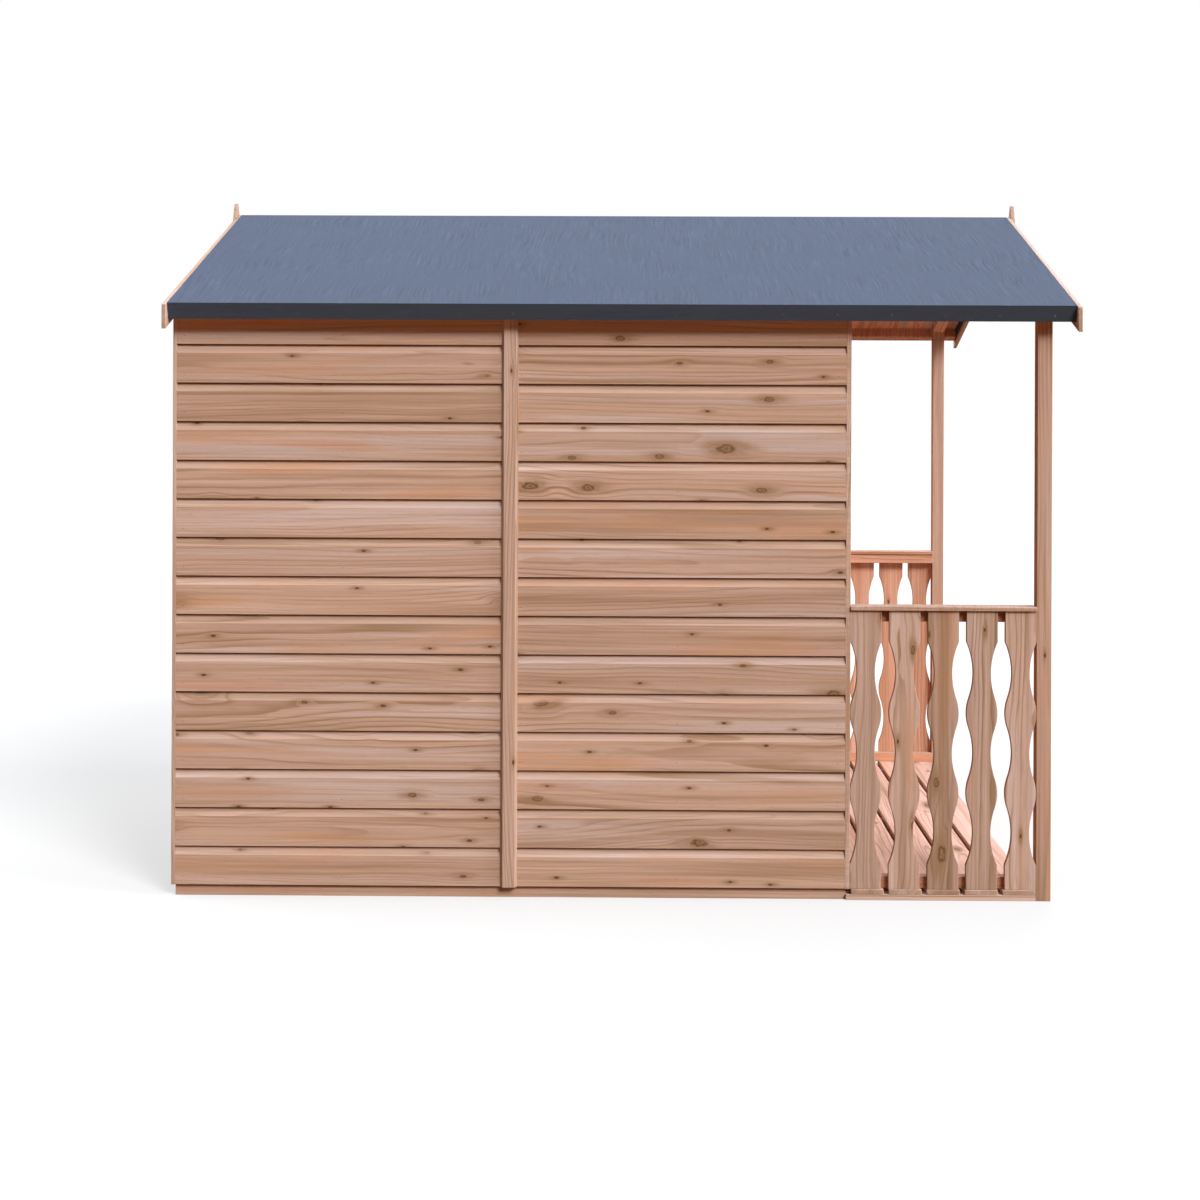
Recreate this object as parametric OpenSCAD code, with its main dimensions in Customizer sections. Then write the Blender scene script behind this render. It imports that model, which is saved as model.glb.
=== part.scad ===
// Garden cabin with an open-fronted veranda under one apex roof.
// +X runs along the ridge towards the veranda, +Y across the cabin, +Z up.
// The origin is on the ground, at the middle of the whole building.

/* [Cabin] */
// Length of the closed room, over its corner trims
room_l = 1967; // [1700:1:2400]
// Width over the cladding of the two side walls
cabin_w = 2024; // [1800:2:2400]
// Height of the floor and of the veranda deck above the ground
floor_h = 32; // [28:1:60]
// Thickness of the cabin's floor boards
floor_board_t = 12; // [10:1:18]
// How far the floor stands back from the face of the cladding
floor_inset = 11; // [2:1:12]

/* [Cladding] */
// Height of cladding that each board covers
board_cover = 112; // [90:1:140]
// Thickness of a cladding board
board_t = 12; // [10:1:18]
// Height of the bevel along the top of a board
bevel_h = 21; // [10:1:30]
// Depth of the bevel where it meets the board above
bevel_d = 6.5; // [3:0.5:8]
// Depth of the wall framing behind the cladding
stud_d = 28; // [20:1:44]
// Width of a stud or rail on its face
stud_w = 44; // [30:1:60]

/* [Trims] */
// Thickness of the corner trims on the rear gable
rear_trim_t = 11; // [8:1:20]
// Thickness of the corner trims and the door casing on the front wall
front_trim_t = 14; // [12:1:20]
// Width of a corner trim or casing board
trim_w = 45; // [30:1:70]
// Distance from the rear of the cabin to the middle of a cover strip
cover_strip_x = 980; // [800:1:1100]
// Width of a cover strip where it meets the wall
cover_strip_w = 49; // [40:1:70]
// Width of a cover strip's flat face
cover_strip_face = 35; // [20:1:38]
// How far a cover strip stands out from the wall
cover_strip_t = 13; // [8:1:16]

/* [Doors] */
// Width of the doorway
doorway_w = 1060; // [800:10:1300]
// Height of the doorway above the floor
doorway_h = 1640; // [1500:10:1660]
// Clearance round each door leaf
door_gap = 3; // [2:0.5:5]
// Width of the frame boards on a door's face
door_frame_w = 70; // [50:1:100]
// Thickness of the frame boards on a door's face
door_frame_t = 11; // [8:1:12]

/* [Veranda] */
// Length of the veranda, from the room's corner trims to the outside of the posts
veranda_l = 580; // [450:1:1200]
// Side of the square posts
post_w = 43; // [38:1:70]
// Number of deck boards
deck_count = 5; // [3:1:9]
// Gap between deck boards
deck_gap = 15; // [5:1:18]
// Thickness of a deck board
deck_t = 16; // [14:1:20]

/* [Balustrade] */
// Top of the handrail above the ground
handrail_z = 850; // [700:1:1000]
// Thickness of the handrail
handrail_t = 12; // [10:1:25]
// Width of the handrail
handrail_w = 66; // [60:1:100]
// How far the handrail stands out past the posts
handrail_out = 8; // [0:1:15]
// Side of the square rails that the balusters are fixed to
rail_w = 34; // [25:1:43]
// Number of balusters on each side
baluster_count = 5; // [3:1:9]
// Width of a baluster
baluster_w = 90; // [70:1:95]
// Thickness of a baluster
baluster_t = 18; // [12:1:20]
// Depth of the cut at each waist of a baluster
waist_d = 19.3; // [8:0.1:24]
// Radius of the waist cuts
waist_r = 225; // [180:5:260]
// Height from one waist to the next
waist_pitch = 231; // [220:1:240]
// Height of the middle waist above the ground
waist_z = 426; // [400:1:450]

/* [Roof] */
// Height of the ridge above the ground, over the felt
ridge_z = 2065; // [2030:5:2400]
// Height of the felt's upper edge at the eaves
eave_z = 1718; // [1700:1:1730]
// How far the roof reaches out past each side wall
eave_over = 66.5; // [60:0.5:80]
// How far the roof reaches past the rear corner trims
rear_over = 3; // [3:1:60]
// How far the roof reaches past the front posts
front_over = 56; // [20:1:120]
// Thickness of the roofing felt
felt_t = 2; // [1.5:0.5:4]
// Thickness of the roof boards
roof_board_t = 12; // [9:1:16]
// Depth of the battens under the roof boards
batten_d = 34; // [28:1:40]
// Width of the battens
batten_w = 44; // [30:1:50]

/* [Bargeboards] */
// Depth of a bargeboard, square to the slope
barge_d = 67; // [60:1:120]
// Thickness of the bargeboards and finials
barge_t = 12; // [10:1:20]
// How far a bargeboard's foot reaches past the eaves
barge_over = 15; // [0:1:30]
// Width of a finial
finial_w = 90; // [60:1:120]
// Height of a finial
finial_h = 178; // [140:1:220]
// Height of a finial's tip above the ridge
finial_up = 38; // [20:1:60]
// Width of the flat at each tip of a finial
finial_tip = 10; // [4:1:20]

/* [Hidden] */
$fn = 48;

// Colours
pine = [0.78, 0.62, 0.53];
pale_pine = [0.86, 0.70, 0.62];
deep_pine = [0.72, 0.52, 0.42];
felt_grey = [0.42, 0.47, 0.57];

// Stations along the ridge
roof_l = rear_over + room_l + veranda_l + front_over;
roof_x = roof_l / 2;
rear_x = -roof_x + rear_over;
rear_clad_x = rear_x + rear_trim_t;
front_x = rear_x + room_l;
front_clad_x = front_x - front_trim_t;
post_x = front_x + veranda_l;
post_in_x = post_x - post_w;

// Stations across the cabin, measured out from the ridge
side_y = cabin_w / 2;
frame_y = side_y - board_t;
inner_y = frame_y - stud_d;

// Roof geometry: a point is given by its run down the slope and its offset above the felt
eave_y = side_y + eave_over;
pitch = atan((ridge_z - eave_z) / eave_y);
slope_l = eave_y / cos(pitch);
board_off = -felt_t;
batten_off = board_off - roof_board_t;
roof_off = batten_off - batten_d;
function roof_pt(run, off) = [run * cos(pitch) + off * sin(pitch), ridge_z - run * sin(pitch) + off * cos(pitch)];
function roof_mid(off) = [0, ridge_z + off / cos(pitch)];
function roof_under_z(y, off) = ridge_z + off / cos(pitch) - abs(y) * tan(pitch);

// The lengths that follow from the rest
wall_top_z = roof_under_z(side_y, batten_off);
purlin_run = slope_l * 0.52;
cover_strip_top = roof_pt(slope_l - felt_t - batten_w, roof_off)[1] - 2;
doorway_z = floor_h + doorway_h;
far_past = 400;
floor_end_x = front_clad_x + 3;
butt_gap = 0.5;

// Draws a Y-Z outline as a solid that runs along X from x0 to x1
module along_x(x0, x1) {
    translate([x0, 0, 0]) rotate([90, 0, 90]) linear_extrude(x1 - x0) children();
}

// Draws an X-Z outline as a solid that runs along Y from y0 to y1
module along_y(y0, y1) {
    translate([0, y1, 0]) rotate([90, 0, 0]) linear_extrude(y1 - y0) children();
}

// A box between two corners
module block(low, high) {
    translate(low) cube(high - low);
}

// The same thing on the near side (-Y), drawn as its far-side twin
module near_side() {
    mirror([0, 1, 0]) children();
}

// Everything under the roof boards, as a Y-Z outline
module under_roof_outline() {
    polygon([
        [-side_y - far_past, 0], [side_y + far_past, 0],
        [side_y + far_past, roof_under_z(side_y + far_past, batten_off)],
        roof_mid(batten_off),
        [-side_y - far_past, roof_under_z(side_y + far_past, batten_off)]
    ]);
}

module under_roof() {
    intersection() {
        children();
        along_x(-roof_x, roof_x) under_roof_outline();
    }
}

// One side of a layer of the roof, as a Y-Z outline between two offsets
module slope_layer(top_off, low_off, run_end) {
    polygon([roof_mid(top_off), roof_pt(run_end, top_off), roof_pt(run_end, low_off), roof_mid(low_off)]);
}

// A batten under the roof boards, from run a to run b
module slope_bar(a, b) {
    polygon([
        roof_pt(a, batten_off), roof_pt(b, batten_off),
        roof_pt(b, roof_off), roof_pt(a, roof_off)
    ]);
}

// Outline of stacked cladding boards: depth behind the face, then height.
// Each board is plain at the foot and bevelled back to the foot of the next one.
course_count = ceil((ridge_z - floor_h) / board_cover);
function course_pts(z) = [[0, z], [0, z + board_cover - bevel_h], [-bevel_d, z + board_cover]];
module cladding_outline() {
    faces = [for (i = [0 : course_count - 1]) each course_pts(floor_h + i * board_cover)];
    polygon(concat([[-board_t, floor_h]], faces, [[-board_t, floor_h + course_count * board_cover]]));
}

// Cladding of the far side wall between two stations along X
module side_cladding(x0, x1) {
    under_roof() translate([0, side_y, 0]) along_x(x0, x1) cladding_outline();
}

// Cladding of an end wall between two stations along Y, facing +X at x = 0
module end_cladding(y0, y1) {
    along_y(y0, y1) cladding_outline();
}

// Studs and rails of the far side wall
module side_frame() {
    x0 = rear_clad_x;
    x1 = front_clad_x;
    mid = rear_x + cover_strip_x;
    bays = [
        x0, x0 + (mid - x0 - stud_w) / 2, mid - stud_w,
        mid, mid + (x1 - mid - stud_w) / 2, x1 - stud_w
    ];
    under_roof() {
        for (x = bays) block([x, inner_y, floor_h], [x + stud_w, frame_y, ridge_z]);
        block([x0, inner_y, floor_h], [x1, frame_y, floor_h + stud_w]);
        block([x0, inner_y, wall_top_z - stud_w], [x1, frame_y, ridge_z]);
    }
}

// Studs, rails and rafters of an end wall, behind a cladding that faces +X at x = 0
module end_frame(stud_ys, door) {
    x0 = -board_t - stud_d;
    x1 = -board_t;
    low = door ? doorway_w / 2 : 0;
    difference() {
        intersection() {
            union() {
                for (y = stud_ys) block([x0, y - stud_w / 2, floor_h], [x1, y + stud_w / 2, ridge_z]);
                block([x0, -inner_y, floor_h], [x1, inner_y, floor_h + stud_w]);
                block([x0, -inner_y, doorway_z], [x1, inner_y, doorway_z + stud_w]);
                for (side = [-1, 1]) scale_side(side) along_x(x0, x1) polygon([
                    roof_mid(batten_off), [inner_y, roof_under_z(inner_y, batten_off)],
                    [inner_y, roof_under_z(inner_y, batten_off) - stud_w], roof_mid(batten_off - stud_w)
                ]);
            }
            along_x(x0, x1) under_roof_outline();
        }
        if (door) block([x0 - 1, -low, 0], [x1 + 1, low, doorway_z]);
    }
}

module scale_side(side) {
    if (side > 0) children();
    else mirror([0, 1, 0]) children();
}

// ---- floor ----

module floor_frame() {
    x0 = rear_x + floor_inset;
    y1 = side_y - floor_inset;
    rim = stud_d;
    in_x0 = x0 + rim + butt_gap;
    in_x1 = floor_end_x - rim - butt_gap;
    in_y = y1 - rim - butt_gap;
    color(pine) {
        for (side = [-1, 1]) scale_side(side) block([x0, y1 - rim, 0], [floor_end_x, y1, floor_h]);
        for (x = [x0, floor_end_x - rim]) block([x, -in_y, 0], [x + rim, in_y, floor_h]);
        for (i = [-2 : 2]) {
            y = i * in_y / 2.5;
            block([in_x0, y - stud_w / 2, 0], [in_x1, y + stud_w / 2, floor_h - floor_board_t]);
        }
    }
}

module floor_boards() {
    x0 = rear_x + floor_inset + stud_d;
    y1 = side_y - floor_inset - stud_d;
    color(pale_pine) block([x0, -y1, floor_h - floor_board_t], [floor_end_x - stud_d, y1, floor_h]);
}

// ---- side walls ----

module wall_rear_panel() {
    color(pine) side_cladding(rear_clad_x, rear_x + cover_strip_x);
}

module wall_front_panel() {
    color(pine) side_cladding(rear_x + cover_strip_x, front_clad_x);
}

module cover_strip() {
    color(pale_pine) translate([rear_x + cover_strip_x, side_y, floor_h])
        linear_extrude(cover_strip_top - floor_h)
            polygon([
                [-cover_strip_w / 2, 0], [cover_strip_w / 2, 0],
                [cover_strip_face / 2, cover_strip_t], [-cover_strip_face / 2, cover_strip_t]
            ]);
}

module wall_frame() {
    color(deep_pine) side_frame();
}

// ---- rear gable ----

module rear_wall() {
    color(pine) under_roof() translate([rear_clad_x, 0, 0]) mirror([1, 0, 0]) end_cladding(-frame_y, frame_y);
}

module rear_wall_frame() {
    color(deep_pine) translate([rear_clad_x, 0, 0]) mirror([1, 0, 0])
        end_frame([-inner_y / 2, 0, inner_y / 2], false);
}

module corner_trims(x0, x1) {
    color(pale_pine) under_roof() for (side = [-1, 1])
        scale_side(side) block([x0, side_y - trim_w, floor_h], [x1, side_y, ridge_z]);
}

// ---- front wall and doors ----

module front_wall_side(side) {
    color(pine) under_roof() translate([front_clad_x, 0, 0])
        scale_side(side) end_cladding(doorway_w / 2, frame_y);
}

module front_wall_gable_panel() {
    color(pine) under_roof() intersection() {
        translate([front_clad_x, 0, 0]) end_cladding(-doorway_w / 2, doorway_w / 2);
        block([front_clad_x - board_t, -doorway_w / 2, doorway_z], [front_x, doorway_w / 2, ridge_z]);
    }
}

module front_wall_frame() {
    jamb = (doorway_w + stud_w) / 2;
    color(deep_pine) translate([front_clad_x, 0, 0]) end_frame([-jamb, 0, jamb], true);
}

module door_casing() {
    y0 = doorway_w / 2;
    color(pale_pine) {
        for (side = [-1, 1]) scale_side(side)
            block([front_clad_x, y0, floor_h], [front_x, y0 + trim_w, doorway_z - butt_gap]);
        block([front_clad_x, -y0 - trim_w, doorway_z], [front_x, y0 + trim_w, doorway_z + trim_w]);
    }
}

// One leaf: boards, with a frame on the face, a middle rail and ledges behind
module door_leaf() {
    y0 = door_gap / 2;
    y1 = doorway_w / 2 - door_gap;
    z0 = floor_h + door_gap;
    z1 = doorway_z - door_gap;
    face = front_clad_x + door_frame_t;
    mid = (z0 + z1) / 2;
    w = door_frame_w;
    color(pine) {
        block([front_clad_x - board_t, y0, z0], [front_clad_x, y1, z1]);
        for (y = [y0, y1 - w]) block([front_clad_x, y, z0], [face, y + w, z1]);
        for (z = [z0, mid - w / 2, z1 - w]) block([front_clad_x, y0, z], [face, y1, z + w]);
        for (z = [z0 + w, mid - w / 2, z1 - 2 * w])
            block([front_clad_x - board_t - door_frame_t, y0 + w / 2, z],
                  [front_clad_x - board_t, y1 - w / 2, z + w]);
    }
}

// ---- veranda ----

module veranda_bearers() {
    x0 = floor_end_x;
    h = floor_h - deck_t;
    color(pine) for (y = [-side_y, -post_w / 2, side_y - post_w])
        block([x0, y, 0], [post_in_x, y + post_w, h]);
}

module veranda_deck_boards() {
    x0 = floor_end_x + deck_gap;
    w = (post_in_x - x0 - (deck_count - 1) * deck_gap) / deck_count;
    color(pale_pine) for (i = [0 : deck_count - 1]) {
        x = x0 + i * (w + deck_gap);
        block([x, -side_y, floor_h - deck_t], [x + w, side_y, floor_h]);
    }
}

module post() {
    color(pale_pine) under_roof() block([post_in_x, side_y - post_w, 0], [post_x, side_y, ridge_z]);
}

// The front rafters and their collar, cut from the outline of the gable
module veranda_truss() {
    y1 = side_y - post_w;
    collar_z = roof_under_z(side_y * 0.5, roof_off) - stud_w;
    collar_top = collar_z + stud_w;
    color(deep_pine) along_x(post_in_x, post_x) difference() {
        polygon([
            [-y1, roof_under_z(y1, roof_off)], [y1, roof_under_z(y1, roof_off)],
            [y1, roof_under_z(y1, batten_off)], roof_mid(batten_off),
            [-y1, roof_under_z(y1, batten_off)]
        ]);
        intersection() {
            polygon([
                [-side_y, roof_under_z(side_y, roof_off)], roof_mid(roof_off),
                [side_y, roof_under_z(side_y, roof_off)]
            ]);
            union() {
                translate([-side_y, collar_top]) square([2 * side_y, ridge_z]);
                translate([-side_y, 0]) square([2 * side_y, collar_z]);
            }
        }
    }
}

// ---- balustrade on the far side ----

module handrail() {
    color(pale_pine) block(
        [front_x, side_y + handrail_out - handrail_w, handrail_z - handrail_t],
        [post_in_x, side_y + handrail_out, handrail_z]
    );
}

module balustrade_rails() {
    y1 = side_y - baluster_t;
    top = handrail_z - handrail_t;
    color(deep_pine) for (z = [floor_h, top - rail_w])
        block([front_x, y1 - rail_w, z], [post_in_x, y1, z + rail_w]);
}

// The bulges between the waists are arcs that meet the waist arcs without a corner
bulge_r = (pow(waist_pitch / 2, 2) + pow(waist_d, 2)) / (2 * waist_d) - waist_r;
bulge_half = waist_pitch / 2 * bulge_r / (bulge_r + waist_r);

module baluster_outline() {
    half = baluster_w / 2;
    top = handrail_z - handrail_t;
    bulges = [waist_z - waist_pitch / 2, waist_z + waist_pitch / 2];
    difference() {
        translate([-half, floor_h]) square([baluster_w, top - floor_h]);
        for (z = bulges) difference() {
            translate([-half - 1, z - bulge_half]) square([baluster_w + 2, 2 * bulge_half]);
            intersection_for (side = [-1, 1])
                translate([side * (half - bulge_r), z]) circle(bulge_r, $fn = 128);
        }
        for (i = [-1, 0, 1], side = [-1, 1])
            translate([side * (half + waist_r - waist_d), waist_z + i * waist_pitch])
                circle(waist_r, $fn = 128);
    }
}

module balusters() {
    first = front_x + baluster_w / 2;
    last = post_in_x - baluster_w / 2;
    step = (last - first) / (baluster_count - 1);
    color(pine) for (i = [0 : baluster_count - 1])
        translate([first + i * step, 0, 0]) along_y(side_y - baluster_t, side_y) baluster_outline();
}

// ---- roof ----

module roof_boards() {
    color(deep_pine) along_x(-roof_x + felt_t, roof_x - felt_t)
        slope_layer(board_off, batten_off, slope_l - felt_t);
}

module roof_battens() {
    room = [rear_clad_x + board_t + stud_d, front_clad_x - board_t - stud_d];
    veranda = [front_clad_x, post_in_x];
    eave = slope_l - felt_t;
    color(deep_pine) {
        along_x(-roof_x + felt_t, roof_x - felt_t) slope_bar(eave - batten_w, eave);
        for (span = [room, veranda], run = [batten_w * 0.5, purlin_run])
            along_x(span[0], span[1]) slope_bar(run, run + batten_w);
    }
}

module roof_felt() {
    color(felt_grey) for (side = [-1, 1]) scale_side(side) {
        along_x(-roof_x, roof_x) slope_layer(0, board_off, slope_l);
        along_x(-roof_x, roof_x) polygon([
            roof_pt(slope_l, 0), roof_pt(slope_l, roof_off),
            roof_pt(slope_l - felt_t, roof_off), roof_pt(slope_l - felt_t, 0)
        ]);
        for (x = [-roof_x, roof_x - felt_t])
            along_x(x, x + felt_t) slope_layer(0, roof_off, slope_l);
    }
}

module bargeboard(x0) {
    foot = eave_y + barge_over;
    color(pale_pine) along_x(x0, x0 + barge_t) polygon([
        roof_mid(0), [foot, roof_under_z(foot, 0)],
        [foot, roof_under_z(foot, -barge_d)], roof_mid(-barge_d)
    ]);
}

module finial(x0) {
    top = ridge_z + finial_up;
    color(pale_pine) along_x(x0, x0 + barge_t) polygon([
        [-finial_tip / 2, top], [finial_tip / 2, top],
        [finial_w / 2, top - finial_h / 2], [finial_tip / 2, top - finial_h],
        [-finial_tip / 2, top - finial_h], [-finial_w / 2, top - finial_h / 2]
    ]);
}

floor_frame();
floor_boards();
near_side() wall_rear_panel();  // near_wall_rear_panel
near_side() wall_front_panel();  // near_wall_front_panel
near_side() cover_strip();  // near_cover_strip
near_side() wall_frame();  // near_wall_frame
wall_rear_panel();  // far_wall_rear_panel
wall_front_panel();  // far_wall_front_panel
cover_strip();  // far_cover_strip
wall_frame();  // far_wall_frame
rear_wall();
rear_wall_frame();
corner_trims(rear_x, rear_clad_x);  // rear_corner_trims
front_wall_side(-1);  // front_wall_near_panel
front_wall_side(1);  // front_wall_far_panel
front_wall_gable_panel();
front_wall_frame();
corner_trims(front_clad_x, front_x);  // front_corner_trims
door_casing();
near_side() door_leaf();  // near_door
door_leaf();  // far_door
veranda_bearers();
veranda_deck_boards();
near_side() post();  // near_post
post();  // far_post
veranda_truss();
near_side() handrail();  // near_handrail
near_side() balustrade_rails();  // near_balustrade_rails
near_side() balusters();  // near_balusters
handrail();  // far_handrail
balustrade_rails();  // far_balustrade_rails
balusters();  // far_balusters
near_side() roof_boards();  // near_roof_boards
roof_boards();  // far_roof_boards
near_side() roof_battens();  // near_roof_battens
roof_battens();  // far_roof_battens
roof_felt();
near_side() bargeboard(-roof_x - barge_t);  // near_rear_bargeboard
bargeboard(-roof_x - barge_t);  // far_rear_bargeboard
near_side() bargeboard(roof_x);  // near_front_bargeboard
bargeboard(roof_x);  // far_front_bargeboard
finial(-roof_x - 2 * barge_t);  // rear_finial
finial(roof_x + barge_t);  // front_finial
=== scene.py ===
import math
import random

import bmesh
import bpy
from mathutils import Matrix, Vector


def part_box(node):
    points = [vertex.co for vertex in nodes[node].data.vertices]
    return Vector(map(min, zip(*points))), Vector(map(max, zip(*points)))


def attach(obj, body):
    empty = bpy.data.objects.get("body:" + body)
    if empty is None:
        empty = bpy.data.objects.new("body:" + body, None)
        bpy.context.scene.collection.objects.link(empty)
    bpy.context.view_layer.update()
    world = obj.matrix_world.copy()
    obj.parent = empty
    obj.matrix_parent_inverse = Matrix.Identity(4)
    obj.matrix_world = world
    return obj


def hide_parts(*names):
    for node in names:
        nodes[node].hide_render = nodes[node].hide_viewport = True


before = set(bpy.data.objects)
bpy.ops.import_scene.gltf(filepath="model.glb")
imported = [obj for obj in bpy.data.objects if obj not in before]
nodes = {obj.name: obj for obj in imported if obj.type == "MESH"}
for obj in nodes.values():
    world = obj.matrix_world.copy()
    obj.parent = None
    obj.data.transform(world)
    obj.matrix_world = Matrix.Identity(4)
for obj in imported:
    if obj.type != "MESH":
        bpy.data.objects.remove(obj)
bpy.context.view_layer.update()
scene = bpy.context.scene
dice = random.Random(23)
xAxis, yAxis, zAxis = Vector((1, 0, 0)), Vector((0, 1, 0)), Vector((0, 0, 1))
bothSides = ((-1, "near"), (1, "far"))
bothEnds = ((-1, "rear"), (1, "front"))
print("frame loaded with", len(nodes), "nodes")


def paint(red, green, blue):
    # A colour picked as 0-255 values, as the linear colour a shader wants
    def linear(value):
        value /= 255
        return value / 12.92 if value <= 0.04045 else ((value + 0.055) / 1.055) ** 2.4
    return (linear(red), linear(green), linear(blue), 1)


# Node helpers take sockets or plain values, and work in the sockets' own tree. Most hand back an output.

def feed(socket, value):
    if isinstance(value, bpy.types.NodeSocket):
        socket.id_data.links.new(value, socket)
    else:
        socket.default_value = value


def addNode(kind, given, **settings):
    # Given holds the inputs by name or in order, at least one of them a socket
    given = given if isinstance(given, dict) else dict(enumerate(given))
    tree = next(value.id_data for value in given.values() if isinstance(value, bpy.types.NodeSocket))
    node = tree.nodes.new("ShaderNode" + kind)
    for label, value in settings.items():
        setattr(node, label, value)
    for label, value in given.items():
        feed(node.inputs[label], value)
    return node.outputs


def sums(operation, first, second=0.0):
    return addNode("Math", (first, second), operation=operation)[0]


def plus(first, second):
    return sums("ADD", first, second)


def minus(first, second):
    return sums("SUBTRACT", first, second)


def times(first, second):
    return sums("MULTIPLY", first, second)


def longSide(first, second):
    # The long side of a right triangle, from the other two
    return sums("SQRT", plus(times(first, first), times(second, second)))


def scaled(value, factor, shift=0.0):
    return addNode("Math", (value, factor, shift), operation="MULTIPLY_ADD")[0]


def vectorSums(operation, first, second):
    return addNode("VectorMath", (first, second), operation=operation)[0]


def split(vector):
    return addNode("SeparateXYZ", (vector,)).values()


def gather(x, y, z):
    return addNode("CombineXYZ", (x, y, z))[0]


def noise(vector, stretch, detail=2.0, roughness=0.5):
    vector = vectorSums("MULTIPLY", vector, stretch)
    given = {"Vector": vector, "Scale": 1, "Detail": detail, "Roughness": roughness}
    return addNode("TexNoise", given)["Fac"]


def cellPattern(vector, scatter, feature):
    given = {"Vector": vector, "Scale": 1, "Randomness": scatter}
    return addNode("TexVoronoi", given, voronoi_dimensions="2D", feature=feature)


def fade(value, low, high, toLow=0.0, toHigh=1.0):
    # Turns low..high smoothly into toLow..toHigh
    given = {"Value": value, "From Min": low, "From Max": high, "To Min": toLow, "To Max": toHigh}
    return addNode("MapRange", given, interpolation_type="SMOOTHSTEP")["Result"]


def blendColour(share, first, second, kind="MIX"):
    given = {"Factor": share, "A": first, "B": second}
    return addNode("Mix", given, data_type="RGBA", blend_type=kind)["Result"]


def toned(colour, tone):
    # A colour made lighter or darker by a number over the surface
    return blendColour(1.0, colour, gather(tone, tone, tone), "MULTIPLY")


def shade(colour, share):
    # A plain colour made lighter or darker
    return tuple(min(1, part * share) for part in colour[:3]) + (1,)


def layer(tree, name, kind="Fac"):
    # Reads one of the layers that grainLayers gives a piece
    node = tree.nodes.new("ShaderNodeAttribute")
    node.attribute_name = name
    return node.outputs[kind]


def objectPlace(tree):
    return tree.nodes.new("ShaderNodeTexCoord").outputs["Object"]


def newGroup(name, inputs, outputs):
    tree = bpy.data.node_groups.new(name, "ShaderNodeTree")
    for label, kind, value in inputs:
        socket = tree.interface.new_socket(name=label, in_out="INPUT", socket_type=kind)
        feed(socket, value)
    for label, kind in outputs:
        tree.interface.new_socket(name=label, in_out="OUTPUT", socket_type=kind)
    return tree, tree.nodes.new("NodeGroupInput").outputs, tree.nodes.new("NodeGroupOutput").inputs


def newFinish(name, specular=0.5):
    # A material, its node tree and the inputs of its shader
    material = bpy.data.materials.new(name)
    material.use_nodes = True
    shader = material.node_tree.nodes["Principled BSDF"].inputs
    feed(shader["Specular IOR Level"], specular)
    return material, material.node_tree, shader


def addRelief(shader, height, strength, depth):
    given = {"Height": height, "Strength": strength, "Distance": depth}
    feed(shader["Normal"], addNode("Bump", given)["Normal"])


# Softwood. Grain is a place in the plank: along it, across it and through it.
# Plank holds three chance numbers that make each plank its own.

woodScale = {  # cells to the metre: along, across and through the plank
    "wander": (0.9, 3.5, 3.5),  # drift of the pith
    "ripple": (4.0, 24, 24),    # waves in the rings
    "patch": (1.4, 14, 14),     # where the rings stand out
    "streak": (0.7, 22, 22),    # pale and dark lengths
    "thread": (1.5, 150, 150),
    "fibre": (7, 330, 330),
    "fleck": (34, 900, 900),
    "ragged": (45, 110, 110),   # unevenness of the knots
    "ticks": (210, 16, 16),     # saw marks
    "plank": (31, 17, 11),      # how far the chance numbers move a plank's pattern
}
knots = {
    "spacing": (4.4, 9.0),  # cells to the metre, along and across
    "scatter": 0.85,
    "radius": 0.0029,       # of the smallest
    "growth": 0.0088,       # what the largest adds to it
    "swirl": (3.1, 3.0),    # reach of the parted rings, the halo and the core:
    "halo": (3.2, 2.3),     # how much longer than wide, and how many knot radii wide
    "core": (2.0, 1.0),
    "rings": 13.0,          # how close the rings inside a big one are
}


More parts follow.
